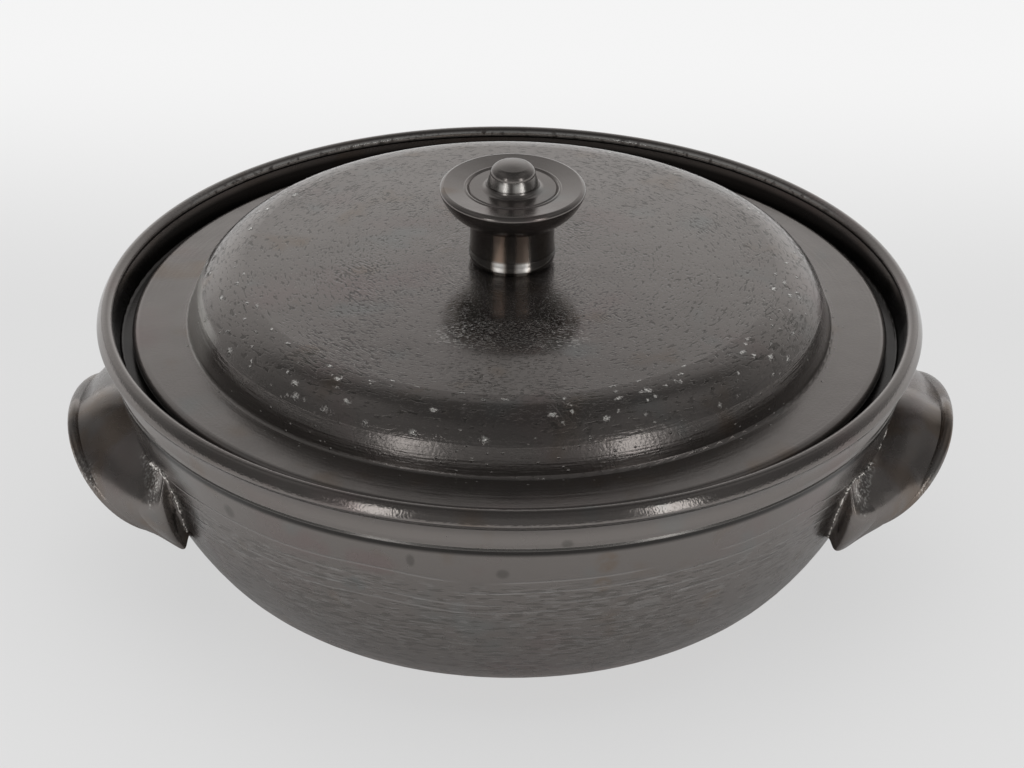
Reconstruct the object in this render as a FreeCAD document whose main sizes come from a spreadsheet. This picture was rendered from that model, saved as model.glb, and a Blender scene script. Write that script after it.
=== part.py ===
import FreeCAD, Part
import math
import os
import Sketcher

# Covered vegetable dish in wheel-thrown, black-glazed earthenware.
# A low round bowl carries two hood-shaped handles and a gallery inside its rim.
# A domed lid with a thrown knob rests loosely on the gallery and lifts off.
# Frame: millimetres, +Z up, origin at the middle of the foot, on the table.
# The handles lie along X, the left one on the -X side, seen from -Y.

# Driving dimensions, all in millimetres, angles in degrees
SIZES = [
    # bowl, outside
    ("rim_radius", 140.0, "outer radius of the rolled rim"),
    ("rim_height", 100.0, "top of the rim above the table"),
    ("roll_radius", 2.2, "curve of the rim's top"),
    ("face_curve", 11.0, "curve of the rim's outer face, which leans back"),
    ("edge_curve", 0.7, "curve of the edge under that face"),
    ("neck_inset", 4.7, "neck under the roll, in from the rim"),
    ("neck_drop", 14.0, "neck below the top of the rim"),
    ("neck_cove", 9.0, "radius of the hollow under the roll"),
    ("line_drop", 1.65, "incised line below the neck"),
    ("line_width", 1.1, "width of that line"),
    ("line_depth", 0.45, "depth of that line"),
    ("wall_lean", 0.26, "lean of the wall at the line, across over up"),
    ("wall_curve", 281.0, "long curve of the upper wall"),
    ("belly_inset", 17.9, "belly, halfway down, in from the rim"),
    ("belly_height", 47.0, "height of the belly"),
    ("turn_inset", 15.2, "where the wall turns under, in from the belly"),
    ("turn_height", 22.0, "height of that place"),
    ("foot_radius", 70.0, "outer radius of the foot ring"),
    ("foot_width", 10.0, "width of the foot ring"),
    ("foot_height", 3.0, "height of the foot ring"),
    ("foot_bevel", 0.8, "sponged edge of the foot ring"),
    # bowl, inside
    ("floor_thickness", 7.0, "clay under the inner floor"),
    ("floor_inset", 12.0, "flat floor, in from the foot ring's outside"),
    ("wall_thickness", 7.0, "wall of the bowl, measured level"),
    ("turn_thickness", 5.0, "extra clay above the place where it turns"),
    ("shoulder_thickness", 10.0, "wall under the gallery"),
    ("shoulder_drop", 13.5, "place of that below the gallery seat"),
    ("gallery_drop", 10.5, "gallery seat below the top of the rim"),
    ("gallery_inset", 2.4, "gallery wall, in from the rim's inner side"),
    ("gallery_width", 12.7, "width of the gallery seat"),
    ("gallery_thickness", 4.0, "thickness of the gallery at its edge"),
    ("gallery_round", 1.2, "rounding of the gallery, both edges"),
    ("gallery_play", 4.0, "free ring between lid and gallery wall"),
    # lid
    ("seat_gap", 0.3, "layer of air between lid and gallery"),
    ("flange_thickness", 5.9, "thickness of the flange"),
    ("flange_width", 18.2, "width of the flange up to the cove"),
    ("flange_fall", 0.9, "how much the flange falls to its edge"),
    ("cove_width", 1.2, "width of the narrow cove"),
    ("cove_rise", 1.0, "rise of the cove"),
    ("flank_width", 2.8, "width of the dome's steep flank"),
    ("flank_rise", 9.0, "rise of the flank up to the crease"),
    ("flank_curve", 62.0, "curve of the flank"),
    ("shoulder_width", 16.0, "width of the rounded shoulder"),
    ("shoulder_rise", 10.7, "rise of the shoulder above the crease"),
    ("crown_rise", 3.2, "rise of the crown above the shoulder"),
    ("lid_wall", 6.0, "thickness of the dome"),
    ("inner_shoulder_curve", 14.5, "curve of the shoulder inside"),
    # knob
    ("knob_shift", 0.5, "how far right of the lid's middle the knob sits"),
    ("stem_radius", 14.6, "radius of the stem above its foot"),
    ("stem_foot_inset", 1.2, "stem where it stands on the dome, in from that"),
    ("bulge_rise", 3.4, "height of the rounding at its foot"),
    ("bulge_curve", 5.4, "curve of that rounding"),
    ("stem_hollow", 60.0, "hollow curve of the stem"),
    ("stem_taper", 0.2, "how much the stem narrows upwards"),
    ("saucer_height", 10.0, "height of the disc's rounded underside"),
    ("saucer_curve", 17.0, "curve of that underside"),
    ("disc_radius", 24.5, "outer radius of the disc"),
    ("disc_edge", 2.2, "height of the disc's rounded edge"),
    ("disc_edge_inset", 1.3, "how far that edge leans in"),
    ("disc_edge_curve", 1.6, "curve of that edge"),
    ("disc_rise", 27.6, "top of the disc above the dome"),
    ("disc_dish", 0.7, "how deep the disc's top is dished"),
    ("ring_inset", 7.9, "raised ring, in from the disc's edge"),
    ("ring_width", 1.1, "width of the raised ring"),
    ("ring_curve", 0.75, "curve of the raised ring"),
    ("groove_width", 0.9, "groove inside the raised ring"),
    ("groove_depth", 0.5, "depth of that groove"),
    ("button_radius", 8.6, "button in the middle of the disc"),
    ("button_fillet", 2.0, "hollow rounding round its foot"),
    ("button_side", 3.2, "height of the button's steep side"),
    ("button_lean", 1.0, "how far that side leans in"),
    ("button_shoulder", 2.2, "width of the button's shoulder"),
    ("button_shoulder_rise", 3.1, "rise of the button's shoulder"),
    ("button_shoulder_curve", 3.4, "curve of the button's shoulder"),
    ("button_crown", 0.6, "rise of the button's top"),
    # handles: reach is out from the belly, rise is above it, both at the oval's top
    ("hood_wall", 5.0, "thickness of the handles"),
    ("lip_wall", 3.0, "thickness of the handles at the lip"),
    ("lip_bead", 2.2, "radius of the rolled lip"),
    ("lip_cover", 1.2, "outside of the wall at the lip, out from the bead's middle"),
    ("lip_tilt", 55.0, "lean of the lip's oval from upright"),
    ("lip_half_width", 44.6, "half width of the lip's oval"),
    ("lip_half_depth", 25.0, "half depth of the lip's oval"),
    ("left_lip_reach", 26.4, "reach of the left lip"),
    ("left_lip_rise", 10.3, "rise of the left lip"),
    ("right_lip_reach", 27.6, "reach of the right lip"),
    ("right_lip_rise", 14.8, "rise of the right lip"),
    ("left_trim_drop", 10.3, "level cut of the left handle below the belly"),
    ("right_trim_drop", 5.0, "level cut of the right handle"),
    ("hood_swell", 2.4, "how far the hood swells outwards between ridge and lip"),
    ("hood_pinch", 5.0, "how much shallower it is there below its widest place"),
    ("ridge_tilt", 20.0, "lean of the oval on the ridge"),
    ("ridge_half_width", 66.0, "its half width"),
    ("ridge_upper_depth", 14.0, "its depth above its widest place"),
    ("ridge_lower_depth", 42.0, "its depth below that"),
    ("ridge_reach", -1.1, "its reach"),
    ("ridge_rise", 24.0, "its rise"),
    ("valley_tilt", 14.0, "lean of the oval in the valley"),
    ("valley_half_width", 64.0, "its half width"),
    ("valley_upper_depth", 15.0, "its depth above its widest place"),
    ("valley_lower_depth", 45.0, "its depth below that"),
    ("valley_reach", -4.0, "its reach"),
    ("valley_rise", 31.6, "its rise"),
    ("root_tilt", 13.0, "lean of the oval inside the bowl's wall"),
    ("root_half_width", 70.0, "its half width"),
    ("root_upper_depth", 17.0, "its depth above its widest place"),
    ("root_lower_depth", 50.0, "its depth below that"),
    ("root_reach", -9.8, "its reach"),
    ("root_rise", 38.6, "its rise"),
]

doc = FreeCAD.newDocument("covered_dish")
sheet = doc.addObject("Spreadsheet::Sheet", "Sizes")
for row, (alias, number, note) in enumerate(SIZES, start=1):
    sheet.set("A%d" % row, note)
    sheet.set("B%d" % row, str(number))
    sheet.setAlias("B%d" % row, alias)
doc.recompute()


class Size:
    """A length with its number and the sheet's expression for it."""

    def __init__(self, number, text):
        self.number = number
        self.text = text

    def _join(self, other, sign, number):
        return Size(number, "(%s %s %s)" % (self.text, sign, as_size(other).text))

    def __add__(self, other):
        return self._join(other, "+", self.number + as_size(other).number)

    def __sub__(self, other):
        return self._join(other, "-", self.number - as_size(other).number)

    def __mul__(self, other):
        return self._join(other, "*", self.number * as_size(other).number)

    def __truediv__(self, other):
        return self._join(other, "/", self.number / as_size(other).number)


def as_size(value):
    if isinstance(value, Size):
        return value
    return Size(float(value), repr(float(value)))


def size(alias):
    return Size(float(sheet.get(alias)), "Sizes." + alias)


AXIS = as_size(0.0)
GROUND = as_size(0.0)


class Step:
    """One point of a section, and the kind of line that leads to it."""

    def __init__(self, x, z, kind="line", radius=None, turn=1):
        self.x = as_size(x)
        self.z = as_size(z)
        self.kind = kind
        self.radius = radius
        self.turn = turn

    def point(self):
        return FreeCAD.Vector(self.x.number, self.z.number, 0)


def arc_from_tangent(start, direction, end):
    """Centre of the arc that leaves start along direction and ends at end."""
    normal = FreeCAD.Vector(-direction.y, direction.x, 0).normalize()
    chord = end - start
    return start + normal * (chord.dot(chord) / (2 * chord.dot(normal)))


def arc_from_radius(start, end, radius, turn):
    """Centre of the arc with this radius; turn is 1 counterclockwise, -1 clockwise."""
    chord = end - start
    reach = math.sqrt(radius ** 2 - chord.Length ** 2 / 4)
    normal = FreeCAD.Vector(-chord.y, chord.x, 0).normalize()
    return (start + end) * 0.5 + normal * (reach * turn)


def arc_centre(before, step, after, direction):
    """Centre of the arc that leads from before to step."""
    start, end = before.point(), step.point()
    if step.kind == "smooth":
        return arc_from_tangent(start, direction, end)
    if step.kind == "into_next":
        return arc_from_tangent(end, start_line(step, after), start)
    if step.kind == "crown":
        chord = end - start
        middle = (start + end) * 0.5
        return FreeCAD.Vector(0, middle.y + middle.x * chord.x / chord.y, 0)
    return arc_from_radius(start, end, step.radius.number, step.turn)


def start_line(step, after):
    return after.point() - step.point()


def arc_sense(step, start, centre, direction, after):
    """1 where the arc runs counterclockwise from start to the step, else -1."""
    end = step.point()
    if step.kind == "smooth":
        spoke = start - centre
        return 1 if spoke.x * direction.y - spoke.y * direction.x > 0 else -1
    if step.kind == "into_next":
        spoke, onward = end - centre, start_line(step, after)
        return 1 if spoke.x * onward.y - spoke.y * onward.x > 0 else -1
    if step.kind == "radius":
        return step.turn
    spoke, other = start - centre, end - centre
    return 1 if spoke.x * other.y - spoke.y * other.x > 0 else -1


def draw_section(sketch, steps):
    """Draw a closed section through the steps and tie each point to the sheet."""
    count = len(steps)
    ends = []
    direction = None
    for index in range(count):
        before, step, after = steps[index - 1], steps[index], steps[(index + 1) % count]
        start, end = before.point(), step.point()
        if step.kind == "line":
            geo = sketch.addGeometry(Part.LineSegment(start, end), False)
            ends.append((geo, 1, 2))
            direction = end - start
            continue
        centre = arc_centre(before, step, after, direction)
        sense = arc_sense(step, start, centre, direction, after)
        first, last = (start, end) if sense > 0 else (end, start)
        from_angle = math.atan2(first.y - centre.y, first.x - centre.x)
        to_angle = math.atan2(last.y - centre.y, last.x - centre.x)
        while to_angle <= from_angle:
            to_angle += 2 * math.pi
        circle = Part.Circle(centre, FreeCAD.Vector(0, 0, 1), (start - centre).Length)
        geo = sketch.addGeometry(Part.ArcOfCircle(circle, from_angle, to_angle), False)
        ends.append((geo, 1, 2) if sense > 0 else (geo, 2, 1))
        spoke = end - centre
        direction = FreeCAD.Vector(-spoke.y, spoke.x, 0) * sense
    for index in range(count):
        geo, _, tail = ends[index]
        next_geo, head, _ = ends[(index + 1) % count]
        smooth = steps[(index + 1) % count].kind == "smooth" or steps[index].kind == "into_next"
        kind = "Tangent" if smooth else "Coincident"
        sketch.addConstraint(Sketcher.Constraint(kind, geo, tail, next_geo, head))
    for index, step in enumerate(steps):
        geo, _, tail = ends[index]
        tie(sketch, "DistanceX", geo, tail, step.x, -2, "x%d" % index)
        tie(sketch, "DistanceY", geo, tail, step.z, -1, "z%d" % index)
        if step.kind == "radius":
            number = sketch.addConstraint(
                Sketcher.Constraint("Radius", geo, step.radius.number))
            sketch.renameConstraint(number, "radius%d" % index)
            sketch.setExpression("Constraints.radius%d" % index, step.radius.text)
        if step.kind == "crown":
            sketch.addConstraint(Sketcher.Constraint("PointOnObject", geo, 3, -2))


def tie(sketch, kind, geo, position, length, axis, name):
    """Tie one coordinate of a point to the sheet, or hold it on an axis."""
    if length.number == 0:
        sketch.addConstraint(Sketcher.Constraint("PointOnObject", geo, position, axis))
        return
    number = sketch.addConstraint(
        Sketcher.Constraint(kind, -1, 1, geo, position, length.number))
    sketch.renameConstraint(number, name)
    sketch.setExpression("Constraints." + name, length.text)


def plane_of(body, role):
    for feature in body.Origin.OriginFeatures:
        if feature.Role == role:
            return feature
    raise ValueError("no plane " + role)


def section_sketch(body, name, steps, plane="XZ_Plane"):
    """A section on one of the body's upright planes, across it and up Z."""
    sketch = body.newObject("Sketcher::SketchObject", name)
    sketch.AttachmentSupport = [(plane_of(body, plane), "")]
    sketch.MapMode = "FlatFace"
    draw_section(sketch, steps)
    return sketch


def thrown_body(name, steps):
    """A piece thrown on the wheel: its section, turned all the way round."""
    body = doc.addObject("PartDesign::Body", name)
    sketch = section_sketch(body, name + "_section", steps)
    turned = body.newObject("PartDesign::Revolution", name + "_turned")
    turned.Profile = sketch
    turned.ReferenceAxis = (sketch, ["V_Axis"])
    turned.Angle = 360
    sketch.Visibility = False
    doc.recompute()
    return body


def facing(degrees):
    """Across and up parts of the direction that a surface faces, from the level."""
    angle = math.radians(degrees)
    return round(math.cos(angle), 6), round(math.sin(angle), 6)


# Directions in which the rim faces, where one of its curves goes over into the next
ROLL_INNER = facing(200)
FACE_TOP = facing(32)
FACE_FOOT = facing(14)
EDGE_FOOT = facing(-75)

# Places that more than one piece uses
edge_centre_radius = size("rim_radius") - size("edge_curve")
face_centre_radius = edge_centre_radius - (size("face_curve") - size("edge_curve")) * FACE_FOOT[0]
roll_centre_radius = face_centre_radius + (size("face_curve") - size("roll_radius")) * FACE_TOP[0]
roll_centre_height = size("rim_height") - size("roll_radius")
face_centre_height = roll_centre_height - (size("face_curve") - size("roll_radius")) * FACE_TOP[1]
edge_centre_height = face_centre_height + (size("face_curve") - size("edge_curve")) * FACE_FOOT[1]
neck_radius = size("rim_radius") - size("neck_inset")
neck_height = size("rim_height") - size("neck_drop")
line_top = neck_height - size("line_drop")
line_top_radius = neck_radius - size("line_drop") * size("wall_lean")
line_foot = line_top - size("line_width")
line_foot_radius = line_top_radius - size("line_width") * size("wall_lean")
belly_radius = size("rim_radius") - size("belly_inset")
turn_radius = belly_radius - size("turn_inset")
gallery_seat = size("rim_height") - size("gallery_drop")
gallery_wall_radius = roll_centre_radius - size("roll_radius") - size("gallery_inset")
gallery_edge_radius = gallery_wall_radius - size("gallery_width")
lid_radius = gallery_wall_radius - size("gallery_play")
flange_top = gallery_seat + size("seat_gap") + size("flange_thickness")
crease_height = flange_top + size("cove_rise") + size("flank_rise")
dome_apex = crease_height + size("shoulder_rise") + size("crown_rise")


# Wall of the bowl, from just under the incised line down to the foot
def outer_wall_steps():
    return [
        Step(belly_radius, size("belly_height"), "radius", size("wall_curve"), -1),
        Step(turn_radius, size("turn_height"), "smooth"),
        Step(size("foot_radius"), size("foot_height"), "smooth"),
    ]


# The rim is pressed square: a small curve on top, a face that leans back, a sharp edge
def on_curve(centre_radius, centre_height, curve, direction):
    """The point of a curve of the rim that faces this way."""
    return centre_radius + curve * direction[0], centre_height + curve * direction[1]


roll_inner = on_curve(roll_centre_radius, roll_centre_height, size("roll_radius"), ROLL_INNER)
face_top = on_curve(roll_centre_radius, roll_centre_height, size("roll_radius"), FACE_TOP)
face_foot = on_curve(edge_centre_radius, edge_centre_height, size("edge_curve"), FACE_FOOT)
edge_foot = on_curve(edge_centre_radius, edge_centre_height, size("edge_curve"), EDGE_FOOT)

# Bowl in one section: floor, inner wall, gallery, rolled rim, fine line, wall and foot.
# The line is cut with a pointed tool while the bowl still turns.
bowl_steps = [
    Step(AXIS, size("foot_height") + size("floor_thickness")),
    Step(size("foot_radius") - size("floor_inset"),
         size("foot_height") + size("floor_thickness")),
    Step(turn_radius - size("wall_thickness"),
         size("turn_height") + size("turn_thickness"), "smooth"),
    Step(belly_radius - size("wall_thickness"), size("belly_height"), "smooth"),
    Step(neck_radius - size("shoulder_thickness"),
         gallery_seat - size("shoulder_drop"), "smooth"),
    Step(gallery_edge_radius, gallery_seat - size("gallery_thickness"), "smooth"),
    Step(gallery_edge_radius, gallery_seat - size("gallery_round")),
    Step(gallery_edge_radius + size("gallery_round"), gallery_seat, "radius",
         size("gallery_round"), -1),
    Step(gallery_wall_radius - size("gallery_round"), gallery_seat),
    Step(gallery_wall_radius, gallery_seat + size("gallery_round"), "radius",
         size("gallery_round"), 1),
    Step(*roll_inner),
    Step(roll_centre_radius, size("rim_height"), "radius", size("roll_radius"), -1),
    Step(*face_top, "radius", size("roll_radius"), -1),
    Step(*face_foot, "radius", size("face_curve"), -1),
    Step(*edge_foot, "radius", size("edge_curve"), -1),
    Step(neck_radius, neck_height, "radius", size("neck_cove"), 1),
    Step(line_top_radius, line_top),
    Step((line_top_radius + line_foot_radius) / 2 - size("line_depth"),
         line_top - size("line_width") / 2),
    Step(line_foot_radius, line_foot),
    *outer_wall_steps(),
    Step(size("foot_radius"), size("foot_bevel")),
    Step(size("foot_radius") - size("foot_bevel"), GROUND),
    Step(size("foot_radius") - size("foot_width"), GROUND),
    Step(size("foot_radius") - size("foot_width"), size("foot_height")),
    Step(AXIS, size("foot_height")),
]
bowl = thrown_body("bowl", bowl_steps)

# Lid: crown, shoulder, crease, steep flank, cove and flange outside, an even wall inside
flange_start_radius = lid_radius - size("flange_width")
flank_foot_radius = flange_start_radius - size("cove_width")
crease_radius = flank_foot_radius - size("flank_width")
edge_round = (size("flange_thickness") - size("flange_fall")) / 2
edge_start_radius = lid_radius - edge_round
crown_radius = crease_radius - size("shoulder_width")
crown_height = crease_height + size("shoulder_rise")
lid_inner_radius = crease_radius - size("lid_wall")
LEAN_SHARE = 0.25
lid_steps = [
    Step(AXIS, dome_apex),
    Step(crown_radius, crown_height, "crown"),
    Step(crease_radius, crease_height, "smooth"),
    Step(flank_foot_radius, flange_top + size("cove_rise"), "radius", size("flank_curve"), -1),
    Step(flange_start_radius, flange_top, "into_next"),
    Step(edge_start_radius, flange_top - size("flange_fall")),
    Step(edge_start_radius, flange_top - size("flange_thickness"), "smooth"),
    Step(lid_inner_radius, flange_top - size("flange_thickness")),
    Step(lid_inner_radius, crease_height - size("lid_wall") * LEAN_SHARE),
    Step(crown_radius - size("lid_wall") * LEAN_SHARE, crown_height - size("lid_wall"),
         "radius", size("inner_shoulder_curve"), 1),
    Step(AXIS, dome_apex - size("lid_wall"), "crown"),
]
lid = thrown_body("lid", lid_steps)

# Knob: it stands on the crown, so its underside follows the crown's curve
stem_foot_radius = size("stem_radius") - size("stem_foot_inset")
foot_share = stem_foot_radius / crown_radius
stem_foot_height = dome_apex - size("crown_rise") * foot_share * foot_share
disc_top = dome_apex + size("disc_rise")
disc_foot = disc_top - size("disc_edge")
dish_height = disc_top - size("disc_dish")
ring_radius = size("disc_radius") - size("ring_inset")
ring_inner_radius = ring_radius - size("ring_width")
button_side_foot = dish_height + size("button_fillet")
button_side_top = button_side_foot + size("button_side")
button_side_radius = size("button_radius") - size("button_lean")
button_flat_radius = button_side_radius - size("button_shoulder")
button_flat_height = button_side_top + size("button_shoulder_rise")
knob_steps = [
    Step(AXIS, dome_apex),
    Step(stem_foot_radius, stem_foot_height, "crown"),
    Step(size("stem_radius"), dome_apex + size("bulge_rise"), "radius",
         size("bulge_curve"), 1),
    Step(size("stem_radius") - size("stem_taper"), disc_foot - size("saucer_height"), "radius",
         size("stem_hollow"), -1),
    Step(size("disc_radius"), disc_foot, "radius", size("saucer_curve"), 1),
    Step(size("disc_radius") - size("disc_edge_inset"), disc_top, "radius",
         size("disc_edge_curve"), 1),
    Step(ring_radius, dish_height),
    Step(ring_inner_radius, dish_height, "radius", size("ring_curve"), 1),
    Step(ring_inner_radius - size("groove_width") / 2, dish_height - size("groove_depth")),
    Step(ring_inner_radius - size("groove_width"), dish_height),
    Step(size("button_radius") + size("button_fillet"), dish_height),
    Step(size("button_radius"), button_side_foot, "radius", size("button_fillet"), -1),
    Step(button_side_radius, button_side_top),
    Step(button_flat_radius, button_flat_height, "radius", size("button_shoulder_curve"), 1),
    Step(AXIS, button_flat_height + size("button_crown"), "crown"),
]
knob = thrown_body("knob", knob_steps)
knob.setExpression("Placement.Base.x", size("knob_shift").text)


# Outside of the bowl as one solid: the handles are cut to lie against it
envelope = doc.addObject("PartDesign::Body", "bowl_envelope")
envelope_steps = [
    Step(AXIS, size("rim_height")),
    Step(line_foot_radius, size("rim_height")),
    Step(line_foot_radius, line_foot),
    *outer_wall_steps(),
    Step(AXIS, size("foot_height")),
]
envelope_sketch = section_sketch(envelope, "envelope_section", envelope_steps, "YZ_Plane")
envelope_turned = envelope.newObject("PartDesign::Revolution", "envelope_turned")
envelope_turned.Profile = envelope_sketch
envelope_turned.ReferenceAxis = (envelope_sketch, ["V_Axis"])
envelope_turned.Angle = 360
doc.recompute()

# Ovals of a handle, from the root inside the bowl's wall out to the lip.
# Each handle is a thrown cup, squeezed oval, cut open and stuck on sideways.
OVALS = ["root", "valley", "ridge"]
HOOD_SHARES = [1 / 3, 2 / 3]


def cosine(tilt):
    return Size(math.cos(math.radians(tilt.number)), "cos(%s * 1 deg)" % tilt.text)


def sine(tilt):
    return Size(math.sin(math.radians(tilt.number)), "sin(%s * 1 deg)" % tilt.text)


def place_leaning(feature, tilt, half_depth, reach, height, side):
    """Put an oval's plane so that its top lies at reach and height, leaning out."""
    lean = math.radians(tilt.number)
    up = FreeCAD.Vector(side * math.sin(lean), 0, math.cos(lean))
    along = FreeCAD.Vector(0, 1, 0)
    outward = FreeCAD.Vector(side * math.cos(lean), 0, -math.sin(lean))
    top = FreeCAD.Vector(side * reach.number, 0, height.number)
    feature.Placement = FreeCAD.Placement(
        top - up * half_depth.number, FreeCAD.Rotation(along, up, outward * side))


def bind(sketch, name, kind, length, *where):
    """A constraint of this kind whose value comes from the sheet."""
    number = sketch.addConstraint(Sketcher.Constraint(kind, *where, length.number))
    sketch.renameConstraint(number, name)
    sketch.setExpression("Constraints." + name, length.text)


def half_oval(sketch, name, wide, deep, start, end):
    """An arc of an oval round the sketch's origin, between two angles in degrees."""
    ellipse = Part.Ellipse(FreeCAD.Vector(wide.number, 0, 0),
                           FreeCAD.Vector(0, deep.number, 0), FreeCAD.Vector(0, 0, 0))
    arc = sketch.addGeometry(
        Part.ArcOfEllipse(ellipse, math.radians(start), math.radians(end)), False)
    sketch.exposeInternalGeometry(arc)
    sketch.addConstraint(Sketcher.Constraint("Coincident", arc, 3, -1, 1))
    sketch.addConstraint(Sketcher.Constraint("Horizontal", arc + 1))
    bind(sketch, name + "_deep", "Distance", deep * 2, arc + 2)
    return arc


def wall_ring(sketch, name, wide, upper, lower, drop):
    """One side of the hood's wall: an upper half oval that runs on down to the cut."""
    below = math.degrees(math.asin(drop.number / lower.number))
    top = half_oval(sketch, name + "_top", wide, upper, 0, 180)
    bind(sketch, name + "_wide", "Distance", wide * 2, top + 1)
    ends = []
    for end, start, stop in ((1, 360 - below, 360), (2, 180, 180 + below)):
        sketch.addConstraint(Sketcher.Constraint("PointOnObject", top, end, -1))
        flank = half_oval(sketch, "%s_flank%d" % (name, end), wide, lower, start, stop)
        sketch.addConstraint(Sketcher.Constraint("Coincident", flank, 3 - end, top, end))
        bind(sketch, "%s_drop%d" % (name, end), "DistanceY", drop, flank, end, -1, 1)
        ends.append((flank, end))
    return ends


def wall_section(name, oval, wall, trim, side):
    """The hood's wall on one oval: an outer and an inner ring, closed at the level cut."""
    tilt, wide, upper, lower, reach, height = oval
    sketch = doc.addObject("Sketcher::SketchObject", name)
    drop = (height - trim) / cosine(tilt) - upper
    outer = wall_ring(sketch, "outer", wide, upper, lower, drop)
    inner = wall_ring(sketch, "inner", wide - wall, upper - wall, lower - wall, drop)
    for (flank, end), (other, other_end) in zip(outer, inner):
        edge = sketch.addGeometry(Part.LineSegment(
            sketch.getPoint(flank, end), sketch.getPoint(other, other_end)), False)
        sketch.addConstraint(Sketcher.Constraint("Coincident", edge, 1, flank, end))
        sketch.addConstraint(Sketcher.Constraint("Coincident", edge, 2, other, other_end))
    place_leaning(sketch, tilt, upper, reach, height, side)
    return sketch


def boolean(kind, name, base, tool):
    result = doc.addObject("Part::" + kind, name)
    result.Base = base
    result.Tool = tool
    return result


def lip_roll(name, reach, height, trim, side):
    """A round bead along the lip's oval, from one trimmed end to the other."""
    tilt, wide, deep = size("lip_tilt"), size("lip_half_width"), size("lip_half_depth")
    path = doc.addObject("Part::Ellipse", name + "_path")
    path.setExpression("MajorRadius", wide.text)
    path.setExpression("MinorRadius", deep.text)
    drop = deep + (trim - height) / cosine(tilt)
    below = math.degrees(math.asin(-drop.number / deep.number))
    path.Angle1 = 360 - below
    path.Angle2 = 180 + below
    place_leaning(path, tilt, deep, reach, height, side)
    doc.recompute()
    edge = path.Shape.Edges[0]
    section = doc.addObject("Part::Circle", name + "_section")
    section.setExpression("Radius", "Sizes.lip_bead")
    section.Placement = FreeCAD.Placement(
        edge.valueAt(edge.FirstParameter),
        FreeCAD.Rotation(FreeCAD.Vector(0, 0, 1), edge.tangentAt(edge.FirstParameter)))
    doc.recompute()
    bead = doc.addObject("Part::Sweep", name)
    bead.Sections = [section]
    bead.Spine = (path, ["Edge1"])
    bead.Solid = True
    bead.Frenet = True
    return bead


def oval_sizes(oval):
    """Lean, half width, upper and lower depth, reach and height of an oval's top."""
    shape = [size("%s_%s" % (oval, word))
             for word in ("tilt", "half_width", "upper_depth", "lower_depth")]
    return (*shape, belly_radius + size(oval + "_reach"),
            size("belly_height") + size(oval + "_rise"))


def hood_oval(ridge, mouth, share):
    """An oval between ridge and mouth, where the hood swells out and is pinched below."""
    tilt, wide, upper, lower, reach, height = [
        first * (1 - share) + last * share for first, last in zip(ridge, mouth)]
    midway = 4 * share * (1 - share)
    return (tilt, wide, upper, lower - size("hood_pinch") * midway,
            reach + size("hood_swell") * midway, height)


def add_handle(name, side, which):
    """One handle: a hood lofted through its ovals, cut to the wall, with a rolled lip."""
    reach = belly_radius + size(which + "_lip_reach")
    height = size("belly_height") + size(which + "_lip_rise")
    trim = size("belly_height") - size(which + "_trim_drop")
    tilt, cover = size("lip_tilt"), size("lip_cover")
    lip_depth = size("lip_half_depth") + cover
    mouth = (tilt, size("lip_half_width") + cover, lip_depth, lip_depth,
             reach + cover * sine(tilt), height + cover * cosine(tilt))
    ovals = [oval_sizes(oval) for oval in OVALS]
    ovals += [hood_oval(ovals[-1], mouth, share) for share in HOOD_SHARES]
    sections = [wall_section("%s_ring%d" % (name, number), oval, size("hood_wall"), trim, side)
                for number, oval in enumerate(ovals)]
    sections.append(wall_section(name + "_mouth", mouth, size("lip_wall"), trim, side))
    hood = doc.addObject("Part::Loft", name + "_hood")
    hood.Sections = sections
    hood.Solid = True
    hood.Ruled = False
    fitted = boolean("Cut", name + "_fitted", hood, envelope)
    lip = lip_roll(name + "_lip", reach, height, trim, side)
    handle = boolean("Fuse", name, fitted, lip)
    doc.recompute()
    return handle


handle_left = add_handle("handle_left", -1, "left")
handle_right = add_handle("handle_right", 1, "right")

PIECES = [
    ("bowl", bowl),
    ("handle_left", handle_left),
    ("handle_right", handle_right),
    ("lid", lid),
    ("knob", knob),
]

doc.recompute()
for item in doc.Objects:
    for word in ("Invalid", "Error"):
        if word in item.State:
            raise ValueError("%s is %s" % (item.Name, word))
for node, piece in PIECES:
    piece.Label = node
    if piece.Shape.isNull() or not piece.Shape.isValid():
        raise ValueError("bad shape: " + node)
os.makedirs("parts", exist_ok=True)
for node, piece in PIECES:
    shape = piece.Shape
    shape.exportStep("parts/%s.step" % node)
    box = shape.BoundBox
    print("%-14s solids %d volume %.0f box x %.1f %.1f y %.1f %.1f z %.1f %.1f" % (
        node, len(shape.Solids), shape.Volume,
        box.XMin, box.XMax, box.YMin, box.YMax, box.ZMin, box.ZMax))
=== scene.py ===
# %% [markdown]
# A covered vegetable dish in black-glazed, wheel-thrown pottery.
#
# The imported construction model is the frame: it says how large each piece is, where it
# sits and which body it moves with. This script dresses that frame. The dish body holds
# the bowl and its two handles, the cover body holds the domed lid and its knob.

# %% Load the frame
import math
import bpy
from mathutils import Matrix, Vector
from mathutils.bvhtree import BVHTree


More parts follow.
